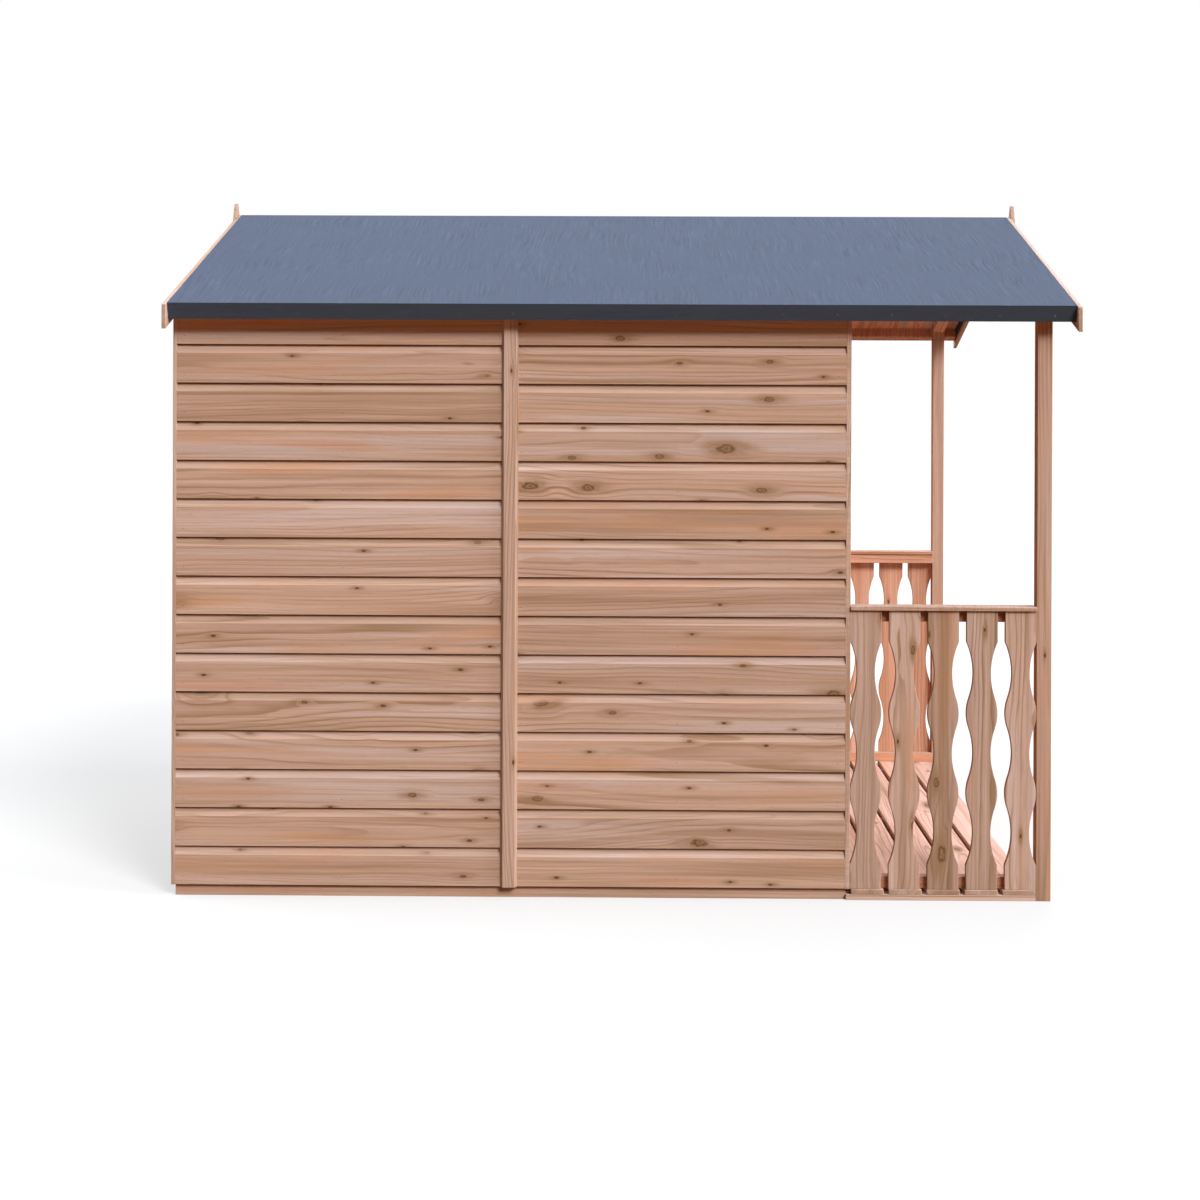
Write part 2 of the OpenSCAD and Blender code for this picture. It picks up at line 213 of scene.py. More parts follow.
def buildSoftwood():
    colour, number, vector = "NodeSocketColor", "NodeSocketFloat", "NodeSocketVector"
    tree, given, made = newGroup("softwood", [
        ("grain", vector, (0, 0, 0)), ("plank", vector, (0, 0, 0)),
        ("earlyWood", colour, paint(192, 158, 137)), ("lateWood", colour, paint(149, 115, 84)),
        ("paleWood", colour, paint(196, 173, 164)), ("tanWood", colour, paint(194, 147, 115)),
        ("knot", colour, paint(92, 62, 36)), ("ringWidth", number, 0.008), ("ringStrength", number, 0.75),
        ("knotShare", number, 0.5), ("toneSpread", number, 0.12), ("sawMarks", number, 0.0),
        ("waviness", number, 0.009),
    ], [("colour", colour), ("roughness", number), ("height", number)])
    along, across, through = split(given["grain"])
    chanceA, chanceB, chanceC = split(given["plank"])
    moved = vectorSums("MULTIPLY", given["plank"], woodScale["plank"])
    place = vectorSums("ADD", given["grain"], moved)

    def pattern(name, detail=1.0, roughness=0.5):
        return noise(place, woodScale[name], detail, roughness)

    def over(wood, share, tone):
        return blendColour(share, wood, given[tone])

    # Knots: one chance for each cell of a stretched cell pattern
    perMetre = knots["spacing"]
    cellPlace = vectorSums("MULTIPLY", place, (*perMetre, 0))
    cells = cellPattern(cellPlace, knots["scatter"], "F1")
    offset = vectorSums("SUBTRACT", cellPlace, cells["Position"])
    offset = vectorSums("MULTIPLY", offset, (1 / perMetre[0], 1 / perMetre[1], 0))
    offAlong, offAcross, _ = split(offset)
    cellEdge = cellPattern(cellPlace, knots["scatter"], "DISTANCE_TO_EDGE")["Distance"]
    luckA, luckB, _ = split(cells["Color"])
    present = sums("GREATER_THAN", luckA, minus(1.0, given["knotShare"]))
    present = times(present, fade(cellEdge, 0.0, 0.26))
    knotRadius = scaled(sums("POWER", luckB, 4.0), knots["growth"], knots["radius"])

    def knotDistance(name):
        # Distance from the knot in a space stretched along the plank, in knot radii
        stretch, size = knots[name]
        distance = longSide(sums("DIVIDE", offAlong, stretch), offAcross)
        return sums("DIVIDE", distance, times(knotRadius, size))

    def bell(distance):
        # One at the knot, and falling off smoothly round it
        return sums("EXPONENT", times(times(distance, distance), -1.0))

    # Growth rings round a pith that wanders behind the plank, parted by the knots
    wander = pattern("wander", 1.5)
    ripple = pattern("ripple", 2.0)
    parting = times(bell(knotDistance("swirl")), present)
    side = plus(across, scaled(chanceA, -0.17, 0.085))
    side = plus(side, scaled(wander, 0.12, -0.06))
    side = minus(side, times(offAcross, parting))
    depth = plus(through, scaled(chanceB, 0.07, 0.010))
    depth = plus(depth, times(along, scaled(chanceC, 0.06, -0.03)))
    radius = plus(longSide(side, depth), times(ripple, given["waviness"]))
    radius = plus(radius, times(parting, times(knotRadius, 1.1)))
    turns = sums("DIVIDE", radius, given["ringWidth"])
    uneven = noise(gather(turns, chanceC, 0.0), (0.4, 9, 1), 1.0)
    within = sums("FRACT", plus(turns, times(uneven, 2.8)))
    late = times(fade(within, 0.5, 0.92), fade(within, 0.94, 1.0, 1.0, 0.0))
    patch = pattern("patch")
    late = times(late, sums("MAXIMUM", fade(patch, 0.30, 0.60, 0.15, 1.0), parting))
    late = times(late, times(given["ringStrength"], scaled(chanceB, 0.6, 0.55)))

    # Colour: broad patches and streaks along the plank, rings, then fibre
    streak = plus(pattern("streak", 2.0, 0.55), scaled(chanceA, 0.12, -0.06))
    thread = pattern("thread")
    fibre = pattern("fibre", 2.0, 0.6)
    fleck = pattern("fleck", 0.0)
    wood = over(given["earlyWood"], fade(streak, 0.32, 0.52, 0.9, 0.0), "paleWood")
    wood = over(wood, fade(patch, 0.42, 0.28, 0.0, 0.7), "tanWood")
    wood = over(wood, fade(streak, 0.52, 0.78, 0.0, 0.6), "lateWood")
    lines = over(given["tanWood"], fade(streak, 0.3, 0.5), "lateWood")
    wood = blendColour(late, wood, lines)
    wood = over(wood, times(fade(fleck, 0.66, 0.8), 0.3), "lateWood")
    tone = times(minus(chanceC, 0.5), given["toneSpread"])
    tone = plus(tone, plus(scaled(fibre, 0.30, 0.63), scaled(thread, 0.44)))
    wood = toned(wood, tone)

    # A knot's halo and dark rim: a big one shows brown rings of its own inside, a small one stays dark
    ragged = pattern("ragged", 2.0, 0.6)
    core = plus(knotDistance("core"), scaled(ragged, 1.5, -0.75))
    halo = times(bell(knotDistance("halo")), present)
    wood = over(wood, times(halo, scaled(ragged, 1.3, 0.25)), "lateWood")
    rim = times(fade(core, 1.35, 0.8, 0.0, 0.9), present)
    wood = over(wood, rim, "knot")
    inner = fade(sums("SINE", times(core, knots["rings"])), -1.0, 1.0, 0.5, 0.95)
    inner = over(given["tanWood"], inner, "lateWood")
    inner = over(inner, fade(core, 0.6, 0.0, 0.1, 0.55), "knot")
    heart = times(present, fade(luckB, 0.45, 0.75, 0.0, 0.85))
    wood = blendColour(times(fade(core, 0.95, 0.5), heart), wood, inner)

    # Ends drink and darken, arrises wear paler, sawn faces carry marks across the plank. On cladding the same
    # darkening is painted shade down in the joints, and the same paling is a painted highlight in the hollow
    wood = over(wood, times(layer(tree, "endGrain"), 0.3), "lateWood")
    wearAndHighlight = times(layer(tree, "arris"), fade(ripple, 0.35, 0.7, 0.1, 0.45))
    wood = over(wood, wearAndHighlight, "paleWood")
    sawn = times(fade(pattern("ticks"), 0.42, 0.62), given["sawMarks"])
    wood = over(wood, times(sawn, 0.4), "lateWood")
    feed(made["colour"], wood)
    feed(made["roughness"], scaled(fibre, -0.18, 0.78))
    feed(made["height"], plus(scaled(fibre, 0.6), scaled(sawn, -0.7)))
    return tree


softwood = buildSoftwood()


def timberFinish(name, bump=0.35, **values):
    # The values name the inputs of the softwood group, with colours as 0-255 values
    material, tree, shader = newFinish(name, specular=0.05)
    group = tree.nodes.new("ShaderNodeGroup")
    group.node_tree = softwood
    for label in ("grain", "plank"):
        feed(group.inputs[label], layer(tree, label, "Vector"))
    for label, value in values.items():
        feed(group.inputs[label], paint(*value) if label.endswith("Wood") else value)
    addRelief(shader, group.outputs["height"], strength=bump, depth=0.0008)
    feed(shader["Base Color"], group.outputs["colour"])
    feed(shader["Roughness"], group.outputs["roughness"])
    return material


paleTones = {"earlyWood": (193, 162, 145), "paleWood": (202, 178, 168)}
claddingTimber = timberFinish("claddingTimber", ringWidth=0.012, knotShare=0.68)
trimTimber = timberFinish(
    "trimTimber", **paleTones, tanWood=(191, 152, 131), ringWidth=0.007, knotShare=0.25, toneSpread=0.04)
railTimber = timberFinish(
    "railTimber", earlyWood=(203, 171, 156), paleWood=(213, 189, 180),
    ringWidth=0.006, knotShare=0.3, sawMarks=0.8)
postTimber = timberFinish(
    "postTimber", earlyWood=(187, 152, 131), paleWood=(196, 166, 150), ringWidth=0.011,
    ringStrength=0.95, waviness=0.003, knotShare=0.2, toneSpread=0.06)
cornerTimber = timberFinish(
    "cornerTimber", earlyWood=(206, 175, 158), paleWood=(217, 191, 182),
    ringWidth=0.006, knotShare=0.1, sawMarks=0.5)
# A darker, redder copy of the wood for sides that the lamps leave in shade: painted shade, in the warm colour
# that wood throws onto wood
shadedSideTimber = timberFinish(
    "shadedSideTimber", earlyWood=(184, 126, 98), paleWood=(190, 132, 106), tanWood=(176, 112, 84),
    knotShare=0.0, sawMarks=0.6)
balusterTimber = timberFinish(
    "balusterTimber", **paleTones, tanWood=(188, 142, 110), ringWidth=0.015, ringStrength=0.95,
    knotShare=0.6, waviness=0.024, toneSpread=0.2)
# Faces that look into the veranda get a warmer, more orange copy of the wood: painted bounce light from the
# wood round them
bounceLitTimber = timberFinish(
    "bounceLitTimber", earlyWood=(203, 155, 129), paleWood=(212, 169, 149), tanWood=(201, 141, 109),
    lateWood=(162, 111, 79), ringWidth=0.012, waviness=0.02, knotShare=0.4)
deckTimber = timberFinish(
    "deckTimber", earlyWood=(214, 174, 161), paleWood=(223, 190, 179), tanWood=(216, 163, 143),
    ringWidth=0.010, knotShare=0.5)
roofTimber = timberFinish("roofTimber", earlyWood=(228, 172, 149), ringWidth=0.009, knotShare=0.45)
plinthTimber = timberFinish(
    "plinthTimber", earlyWood=(203, 168, 147), paleWood=(212, 184, 172), tanWood=(206, 160, 130),
    ringWidth=0.009, knotShare=0.3)
sawnTimber = timberFinish(
    "sawnTimber", bump=0.5, earlyWood=(232, 164, 140), ringWidth=0.006, knotShare=0.5, sawMarks=1.0)
doorTimber = timberFinish("doorTimber", ringWidth=0.008, knotShare=0.4)

feltScale = {  # cells to the metre each way
    "grit": (900, 900, 900),
    "clump": (150, 150, 150),
    "cloud": (2.2, 3.0, 3.0),
    "bend": (2.5, 6.0, 6.0),  # how the pull marks stray
    "patch": (6, 8, 8),       # where they show
}


def feltFinish(name, colour, drag, marks):
    # Mineral felt: fine grit pressed into bitumen, with faint pull marks.
    # Drag is how fine the marks are each way, and marks is how strong they are.
    material, tree, shader = newFinish(name, specular=0.03)
    place = objectPlace(tree)
    grit = noise(place, feltScale["grit"], 1.0)
    clump = noise(place, feltScale["clump"])
    cloud = noise(place, feltScale["cloud"])
    bend = scaled(noise(place, feltScale["bend"], 1.0), 0.025)
    along, across, up = split(place)
    pull = noise(gather(plus(along, bend), across, up), drag, 2.0, 0.6)
    patch = fade(noise(place, feltScale["patch"], 1.0), 0.38, 0.62, 0.2, 1.0)
    pull = times(minus(pull, 0.5), patch)
    base = blendColour(fade(grit, 0.35, 0.7), colour, shade(colour, 1.3))
    tone = plus(scaled(pull, marks, 0.90), scaled(cloud, 0.06))
    tone = plus(tone, scaled(clump, 0.14))
    feed(shader["Base Color"], toned(base, tone))
    feed(shader["Roughness"], scaled(grit, -0.2, 0.95))
    addRelief(shader, plus(pull, scaled(grit, 0.35)), strength=0.5, depth=0.0012)
    return material


slateFelt = feltFinish("slateFelt", paint(77, 85, 102), (150, 5.5, 5.5), 0.75)
# The darker felt for the turned-down edges and every face that doesn't look up: partly its own darker edge,
# partly painted shade
feltFoldAndShade = feltFinish("feltFoldAndShade", paint(62, 69, 79), (7, 90, 90), 0.45)


def metalFinish(name, colour, metallic, roughness, wear):
    # Painted or plated steel: a fine orange-peel, cloudy dulling and rubbed edges
    material, tree, shader = newFinish(name)
    place = objectPlace(tree)
    peel = noise(place, (700, 700, 700))
    cloud = noise(place, (60, 60, 60), 3.0, 0.6)
    rubbed = times(layer(tree, "arris"), fade(cloud, 0.45, 0.7))
    base = blendColour(fade(cloud, 0.35, 0.7, 0.0, 0.6), colour, shade(colour, 0.62))
    feed(shader["Base Color"], blendColour(rubbed, base, wear))
    feed(shader["Roughness"], scaled(cloud, 0.35, roughness - 0.17))
    feed(shader["Metallic"], metallic)
    addRelief(shader, peel, strength=0.4, depth=0.0002)
    return material


blackIron = metalFinish("blackIron", paint(38, 38, 40), 0.0, 0.5, paint(96, 92, 88))
zincSteel = metalFinish("zincSteel", paint(168, 164, 158), 0.9, 0.45, paint(190, 188, 184))
cloutSteel = metalFinish("cloutSteel", paint(66, 68, 72), 0.6, 0.6, paint(110, 110, 112))
print("softwood, felt and metal finishes ready")


# Solids of timber

def only(geometry, kind):
    # The items of one kind among those an operator hands back
    return [item for item in geometry if isinstance(item, kind)]


def prism(axis, outline, start, end):
    # A flat outline drawn across an axis and pulled along it from start to end
    bm = bmesh.new()
    spot = "xyz".index(axis)
    face = bm.faces.new([bm.verts.new((*point[:spot], start, *point[spot:])) for point in outline])
    pulled = bmesh.ops.extrude_face_region(bm, geom=[face])["geom"]
    step = (xAxis, yAxis, zAxis)[spot] * (end - start)
    bmesh.ops.translate(bm, vec=step, verts=only(pulled, bmesh.types.BMVert))
    bmesh.ops.recalc_face_normals(bm, faces=bm.faces)
    return bm


def block(low, high):
    outline = [(low[0], low[1]), (high[0], low[1]), (high[0], high[1]), (low[0], high[1])]
    return prism("z", outline, low[2], high[2])


def laidOut(low, high, count, joint):
    # Start and end of each board of a row: joint is half of the gap between two
    step = (high - low) / count
    return [(low + i * step + joint, low + (i + 1) * step - joint) for i in range(count)]


def span(bm):
    places = [vert.co for vert in bm.verts]
    low = Vector([min(place[i] for place in places) for i in range(3)])
    high = Vector([max(place[i] for place in places) for i in range(3)])
    return low, high


def solidsOf(node):
    # The solids of a CAD node, merged and freed of their triangle lines
    whole = bmesh.new()
    whole.from_mesh(nodes[node].data)
    bmesh.ops.remove_doubles(whole, verts=whole.verts, dist=1e-5)
    bmesh.ops.dissolve_limit(whole, angle_limit=math.radians(0.4), verts=whole.verts, edges=whole.edges)
    whole.verts.index_update()
    whole.verts.ensure_lookup_table()
    waiting, solids = set(range(len(whole.verts))), []
    while waiting:
        island, reached = set(), [waiting.pop()]
        while reached:
            index = reached.pop()
            island.add(index)
            for edge in whole.verts[index].link_edges:
                other = edge.other_vert(whole.verts[index]).index
                if other in waiting:
                    waiting.discard(other)
                    reached.append(other)
        solid = whole.copy()
        bmesh.ops.delete(solid, geom=[vert for vert in solid.verts if vert.index not in island],
                         context="VERTS")
        solids.append(solid)
    whole.free()
    return solids


def sharpEdges(bm, degrees):
    return [edge for edge in bm.edges if edge.is_manifold and edge.calc_face_angle(0) > math.radians(degrees)]


def longEdges(bm, axis, least):
    return [edge for edge in bm.edges if abs((edge.verts[0].co - edge.verts[1].co).dot(axis)) > least]


def rounded(bm, edges, size, segments):
    return bmesh.ops.bevel(bm, geom=edges, offset=size, offset_type="OFFSET", segments=segments,
                           profile=0.5, affect="EDGES", material=-1, clamp_overlap=True)["faces"]


def merged(bm):
    # Welds the hair-thin slivers that easing short edges can leave
    bmesh.ops.remove_doubles(bm, verts=bm.verts, dist=5e-6)
    bmesh.ops.dissolve_degenerate(bm, dist=1e-6, edges=bm.edges)
    return bm


def grainLayers(bm):
    verts, faces = bm.verts.layers.float_vector, bm.faces.layers.float
    return verts.new("grain"), verts.new("plank"), faces.new("endGrain"), faces.new("arris")


def finishPlank(bm, along, across, arris=0.001, segments=2):
    # Eases the arrises, then writes how the grain lies and which faces are ends or arrises
    low, high = span(bm)
    grain, plank, endGrain, wearAndHighlight = grainLayers(bm)
    eased = rounded(bm, sharpEdges(bm, 40), arris, segments)
    along, across = along.normalized(), across.normalized()
    through = along.cross(across)
    middle = (low + high) / 2
    turn = dice.choice((-1, 1))
    chance = Vector((dice.random(), dice.random(), dice.random()))
    for vert in bm.verts:
        place = vert.co - middle
        vert[grain] = Vector((place.dot(along) * turn, place.dot(across), place.dot(through)))
        vert[plank] = chance
    for face in bm.faces:
        face[endGrain] = 1.0 if abs(face.normal.dot(along)) > 0.8 else 0.0
    for face in eased:
        face[wearAndHighlight] = 1.0
        face.smooth = True
    return merged(bm)


def paintWith(index, faces):
    # Index is a finish's place in the piece's list
    for face in faces:
        face.material_index = index


def addObject(name, data):
    item = bpy.data.objects.new(name, data)
    scene.collection.objects.link(item)
    return item


def addMesh(name, bm, materials):
    mesh = bpy.data.meshes.new(name)
    bm.to_mesh(mesh)
    bm.free()
    for material in materials:
        mesh.materials.append(material)
    return addObject(name, mesh)


def addPiece(name, parts, materials, replaced=()):
    # Joins parts into one piece that rides on the building
    whole = bmesh.new()
    grainLayers(whole)
    for part in parts:
        carrier = bpy.data.meshes.new("carrier")
        part.to_mesh(carrier)
        part.free()
        whole.from_mesh(carrier)
        bpy.data.meshes.remove(carrier)
    piece = addMesh(name, whole, materials)
    stored = piece.data.attributes.get("custom_normal")
    if stored:  # they belong to the CAD solid before its arrises were eased
        piece.data.attributes.remove(stored)
    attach(piece, "root")
    if replaced:
        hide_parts(*replaced)


def camelName(node):
    first, *others = node.split("_")
    return first + "".join(word.capitalize() for word in others)


def dressNode(node, material, arris=0.0015, along=None, across=None, segments=2, turned=(), name=None):
    # A CAD node's own solids with eased arrises and grain along their longest side.
    # Turned pairs a finish with the way that the faces it goes on look.
    finishes = [material] + [finish for finish, way in turned]
    parts = []
    for solid in solidsOf(node):
        low, high = span(solid)
        longest = sorted(range(3), key=lambda i: low[i] - high[i])
        axes = (xAxis, yAxis, zAxis)
        plank = finishPlank(solid, along or axes[longest[0]], across or axes[longest[1]], arris, segments)
        paintWith(0, plank.faces)
        for i, (finish, way) in enumerate(turned):
            paintWith(i + 1, [face for face in plank.faces if face.normal.dot(way) > 0.75])
        parts.append(plank)
    addPiece(name or camelName(node), parts, finishes, [node])


roof = {
    "ridgeZ": 2.065,       # top of the felt at the ridge
    "eaveY": 1.0785,       # upper edge of the felt at the eaves, from the ridge
    "eaveZ": 1.718,
    "felt": 0.002,         # thicknesses
    "board": 0.012,
    "batten": 0.034,
    "boardWidth": 0.0948,  # cover of a roof board
    "joint": 0.0002,       # half of the gap between two boards
    "fold": 0.0012,        # radius of the felt's folds
}
pitch = math.atan2(roof["ridgeZ"] - roof["eaveZ"], roof["eaveY"])
slopeCos, slopeSin, slopeTan = math.cos(pitch), math.sin(pitch), math.tan(pitch)
slopeEnd = math.hypot(roof["eaveY"], roof["ridgeZ"] - roof["eaveZ"]) - roof["felt"]
underBoards = roof["felt"] + roof["board"]
underBattens = underBoards + roof["batten"]


def roofPoint(run, under):
    # A point on the far slope, run down from the ridge and under the felt's top, as y and z
    return (run * slopeCos - under * slopeSin, roof["ridgeZ"] - run * slopeSin - under * slopeCos)


def ridgeUnder(under):
    return roof["ridgeZ"] - under / slopeCos


def downSlope(side):
    return Vector((0, side * slopeCos, -slopeSin))


def offSlope(side):
    return Vector((0, side * slopeSin, slopeCos))


def cutUnderRoof(bm, under):
    # Takes off what stands over a level under the felt's top, and closes the cuts
    ridge = Vector((0, 0, ridgeUnder(under)))
    for side in (-1, 1):
        everything = bm.verts[:] + bm.edges[:] + bm.faces[:]
        cut = bmesh.ops.bisect_plane(bm, geom=everything, dist=1e-6, plane_co=ridge,
                                     plane_no=offSlope(side), clear_outer=True)
        rim = only(cut["geom_cut"], bmesh.types.BMEdge)
        if rim:
            bmesh.ops.holes_fill(bm, edges=rim, sides=0)


# Cladding

cladding = {
    "foot": 0.032,          # where the lowest board starts
    "cover": 0.112,         # height that each board covers
    "thickness": 0.012,
    "lap": 0.009,           # how far a board runs up behind the next one
    "lapGap": 0.0008,       # room over its top there
    "play": 0.0004,         # room at its face there, and under the roof boards
    "scoopHeight": 0.0245,  # the hollow along each board's top, and how deep it is cut
    "scoopDepth": 0.0082,
    "scoopSteps": 4,
    "gap": 0.0012,          # the shadow line at a joint: how far it opens above, cuts below, sinks in
    "drop": 0.0018,
    "sunk": 0.0017,
    "rise": 0.0022,         # and how far up it runs behind the next board
    "damp": 2.1,            # painted shade: how dark and brown the faces down in a joint and under a board's lip are made
    "hollowHighlight": 0.7,          # painted highlight: how much paler the hollow, which looks up to the light, is made
    "arris": 0.0009,
    "least": 0.01,          # a lower board than this is left out under the roof
    "panelGap": 0.0006,     # how far a panel stays off the joint with the next
}
lintel = {"setBack": 0.001, "lap": 0.004, "arris": 0.0008}


def claddingSection():
    # A board's section: distance out from its face, and height over its foot
    depth, cover, gap = cladding["scoopDepth"], cladding["cover"], cladding["gap"]
    sweep = 2 * math.atan(depth / cladding["scoopHeight"])
    radius = cladding["scoopHeight"] / math.sin(sweep)
    last = math.asin(cladding["drop"] / radius)
    section = [(0, gap)]
    for i in range(cladding["scoopSteps"] + 1):
        turn = sweep + (last - sweep) * i / cladding["scoopSteps"]
        section.append((radius * (1 - math.cos(turn)) - depth, cover - radius * math.sin(turn)))
    groove, grooveTop = -depth - cladding["sunk"], cover + cladding["rise"]
    tongue, top, back = -depth - cladding["play"], cover + cladding["lap"], -cladding["thickness"]
    rebate = cladding["lap"] + cladding["lapGap"]
    return section + [(groove, cover - cladding["drop"]), (groove, grooveTop), (tongue, grooveTop),
                      (tongue, top), (back, top), (back, rebate), (-depth, rebate), (-depth, gap)]


boardSection = claddingSection()


def claddingBoard(axis, faceAt, outward, start, end, foot):
    board = prism(axis, [(faceAt + outward * out, foot + up) for out, up in boardSection], start, end)
    cutUnderRoof(board, underBoards + cladding["play"])
    low, high = span(board) if board.verts else (Vector(), Vector())
    if high.z - low.z < cladding["least"]:
        board.free()
        return None
    along, facing = (xAxis, outward * yAxis) if axis == "x" else (yAxis, outward * xAxis)

    def inHollow(face, steepest):
        return 0.03 < face.normal.z < steepest and face.normal.dot(facing) > 0.5

    for face in board.faces:
        face.smooth = inHollow(face, 0.7)
    for edge in board.edges:  # the hollow ends in a crisp line
        edge.smooth = len({face.smooth for face in edge.link_faces}) == 1
    finishPlank(board, along, zAxis, cladding["arris"])
    wearAndHighlight, damp = board.faces.layers.float["arris"], board.faces.layers.float["endGrain"]
    for face in board.faces:
        # Painted highlight: the hollow is made paler through the same layer as worn arrises
        if inHollow(face, 0.75):
            face[wearAndHighlight] = cladding["hollowHighlight"]
        # Painted shade: faces that look down under a board's lip, and faces deep in the joint, are darkened
        out = face.calc_center_median().dot(facing) - faceAt * outward
        if face.normal.z < -0.3 or out < -cladding["scoopDepth"] - cladding["play"]:
            face[damp] = cladding["damp"]
    return board


def claddingRun(axis, faceAt, outward, start, end, firstFoot, lastFoot):
    boards, foot = [], firstFoot
    while foot < lastFoot:
        board = claddingBoard(axis, faceAt, outward, start, end, foot)
        if board:
            boards.append(board)
        foot += cladding["cover"]
    return boards


def addCladding(name, node, boards):
    addPiece(name, boards, [claddingTimber], [node])


for side, label in bothSides:
    for part in ("rear", "front"):
        node = f"{label}_wall_{part}_panel"
        low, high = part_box(node)
        start = low.x + (cladding["panelGap"] if part == "front" else 0)
        end = high.x - (cladding["panelGap"] if part == "rear" else 0)
        addCladding(f"{label}{part.capitalize()}Cladding", node, claddingRun(
            "x", high.y if side > 0 else low.y, side, start, end, cladding["foot"], high.z))

low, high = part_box("rear_wall")
addCladding("rearGableCladding", "rear_wall",
            claddingRun("y", low.x, -1, low.y, high.y, cladding["foot"], high.z))

low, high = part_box("front_wall_gable_panel")
sideLow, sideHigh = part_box("front_wall_far_panel")
coursesUnder = math.ceil((low.z - cladding["foot"]) / cladding["cover"] - 1e-6)
overDoor = cladding["foot"] + coursesUnder * cladding["cover"]  # first foot above the doorway's head
for side, label in bothSides:
    start, end = sorted((side * sideLow.y, side * sideHigh.y))
    addCladding(f"{label}FrontWallCladding", f"front_wall_{label}_panel",
                claddingRun("y", sideHigh.x, 1, start, end, cladding["foot"], overDoor - 0.001))
boards = claddingRun("y", sideHigh.x, 1, -sideHigh.y, sideHigh.y, overDoor, high.z)
beam = block((high.x - cladding["thickness"], low.y, low.z),
             (high.x - lintel["setBack"], high.y, overDoor + lintel["lap"]))
boards.append(finishPlank(beam, yAxis, zAxis, lintel["arris"]))
addCladding("frontGableCladding", "front_wall_gable_panel", boards)
print("cladding boards ready")

# Trims, posts and rails keep the CAD's own solids
for side, label in bothSides:
    inward = -side * yAxis
    # Painted bounce light: the faces that look into the veranda get the warmer copy of the wood
    bounceLitInward = [(bounceLitTimber, inward)]
    dressNode(f"{label}_cover_strip", trimTimber, 0.0012, zAxis, xAxis)
    # Painted shade: posts, rails and balusters get the shaded copy of the wood on the sides that the key lamp
    # leaves in shade
    dressNode(f"{label}_post", postTimber, 0.0018, zAxis, xAxis, turned=[(shadedSideTimber, -xAxis)])
    dressNode(f"{label}_handrail", railTimber, 0.0014, xAxis, yAxis, 3, bounceLitInward)
    dressNode(f"{label}_balustrade_rails", trimTimber, 0.0015, xAxis, zAxis,
              turned=bounceLitInward + [(shadedSideTimber, -inward)])
    dressNode(f"{label}_balusters", balusterTimber, 0.0016, zAxis, xAxis,
              turned=bounceLitInward + [(shadedSideTimber, xAxis), (shadedSideTimber, -xAxis)])
dressNode("rear_corner_trims", trimTimber, 0.0012, zAxis, yAxis)
dressNode("front_corner_trims", cornerTimber, 0.0012, zAxis, yAxis)
dressNode("door_casing", trimTimber)
dressNode("veranda_deck_boards", deckTimber, 0.0025, yAxis, xAxis, 3,
          [(trimTimber, yAxis), (trimTimber, -yAxis)], "verandaDeck")
dressNode("veranda_bearers", plinthTimber, 0.001, xAxis, yAxis)
dressNode("floor_frame", plinthTimber, 0.001)
for _, end in bothEnds:
    for side, label in bothSides:
        dressNode(f"{label}_{end}_bargeboard", trimTimber, 0.0014,
                  downSlope(side), offSlope(side))
    dressNode(f"{end}_finial", trimTimber, 0.0014, zAxis, yAxis)
for _, label in bothSides:
    dressNode(f"{label}_roof_battens", sawnTimber, 0.001, xAxis, yAxis)
    dressNode(f"{label}_wall_frame", sawnTimber, 0.001, xAxis, zAxis)
for _, end in bothEnds:
    dressNode(f"{end}_wall_frame", sawnTimber, 0.001, yAxis, zAxis)
print("trims, posts and rails ready")

# Roof boards run down the slope, side by side
low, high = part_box("far_roof_boards")
places = laidOut(low.x, high.x, round((high.x - low.x) / roof["boardWidth"]), roof["joint"])
top = roof["felt"]
outline = [(0, ridgeUnder(top)), roofPoint(slopeEnd, top), roofPoint(slopeEnd, underBoards),
           (0, ridgeUnder(underBoards))]
for side, label in bothSides:
    section = [(side * y, z) for y, z in outline]
    boards = [finishPlank(prism("x", section, start, end), downSlope(side), xAxis) for start, end in places]
    addPiece(f"{label}RoofBoards", boards, [roofTimber], [f"{label}_roof_boards"])

# Felt: turned down over the eaves and verges
parts = solidsOf("roof_felt")
for felt in parts:
    bmesh.ops.recalc_face_normals(felt, faces=felt.faces)
    folds = [edge for edge in sharpEdges(felt, 30) if edge.is_convex and edge.calc_length() > 0.5]
    folded = rounded(felt, folds, roof["fold"], 2)
    for face in felt.faces:
        # Faces that don't look up get the darker felt: partly the darker turned-down felt, partly painted
        # shade
        face.material_index = 0 if face.normal.z > 0.5 else 1
        face.smooth = False
    for face in folded:
        face.smooth = True
    merged(felt)
addPiece("roofFelt", parts, [slateFelt, feltFoldAndShade], ["roof_felt"])

# Front rafters and their collar
truss = {
    "arris": 0.0015,
    "collarReach": 0.506,  # from the middle to the upper ends of the collar
    "collarDepth": 0.044,
}
low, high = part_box("veranda_truss")
members = []
drop = high.y * slopeTan
top, bottom = ridgeUnder(underBoards), ridgeUnder(underBattens)
for side in (-1, 1):
    outline = [(0, top), (side * high.y, top - drop), (side * high.y, bottom - drop), (0, bottom)]
    members.append(finishPlank(prism("x", outline, low.x, high.x), downSlope(side), xAxis, truss["arris"]))
collarTop = bottom - truss["collarReach"] * slopeTan
collar = block((low.x, -1, collarTop - truss["collarDepth"]), (high.x, 1, collarTop))
cutUnderRoof(collar, underBattens)
members.append(finishPlank(collar, yAxis, zAxis, truss["arris"]))
paintWith(1, collar.faces)
addPiece("verandaTruss", members, [roofTimber, trimTimber], ["veranda_truss"])
print("roof, felt and truss ready")

